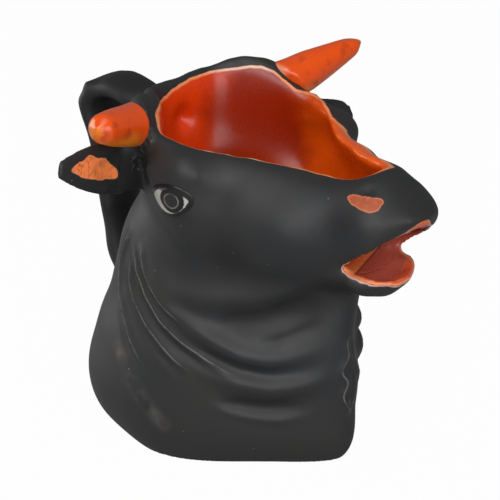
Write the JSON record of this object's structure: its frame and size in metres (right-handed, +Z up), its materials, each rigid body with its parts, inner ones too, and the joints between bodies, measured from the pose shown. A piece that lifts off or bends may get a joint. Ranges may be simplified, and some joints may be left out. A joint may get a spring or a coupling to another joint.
{
  "type": "figural bull-head creamer jug",
  "caption": "Small ceramic pouring jug shaped as a horned bull's head on its neck, filled through the open crown, poured through the mouth, with a strap handle at the nape.",
  "frame": {"origin": "on the table, under the middle of the part's bounding box", "axes": "+X forward to the muzzle, +Y to the bull's left, +Z up"},
  "size_m": [0.1318, 0.1258, 0.112],
  "materials": {
    "black_glaze": "satin black glaze",
    "orange_glaze": "gloss red-orange glaze",
    "horn_glaze": "gloss orange-brown glaze",
    "eye_glaze": "gloss off-white glaze"
  },
  "bodies": {
    "root": {"head_body": "black_glaze", "lower_jaw": "black_glaze", "handle": "black_glaze", "ear_left": "black_glaze", "ear_right": "black_glaze", "horn_left": "horn_glaze", "horn_right": "horn_glaze", "liner_glaze": "orange_glaze", "lip_glaze": "orange_glaze", "ear_glaze_left": "orange_glaze", "ear_glaze_right": "orange_glaze", "nostril_glaze_left": "orange_glaze", "nostril_glaze_right": "orange_glaze", "eye_left": "eye_glaze", "eye_right": "eye_glaze"}
  },
  "joints": []
}
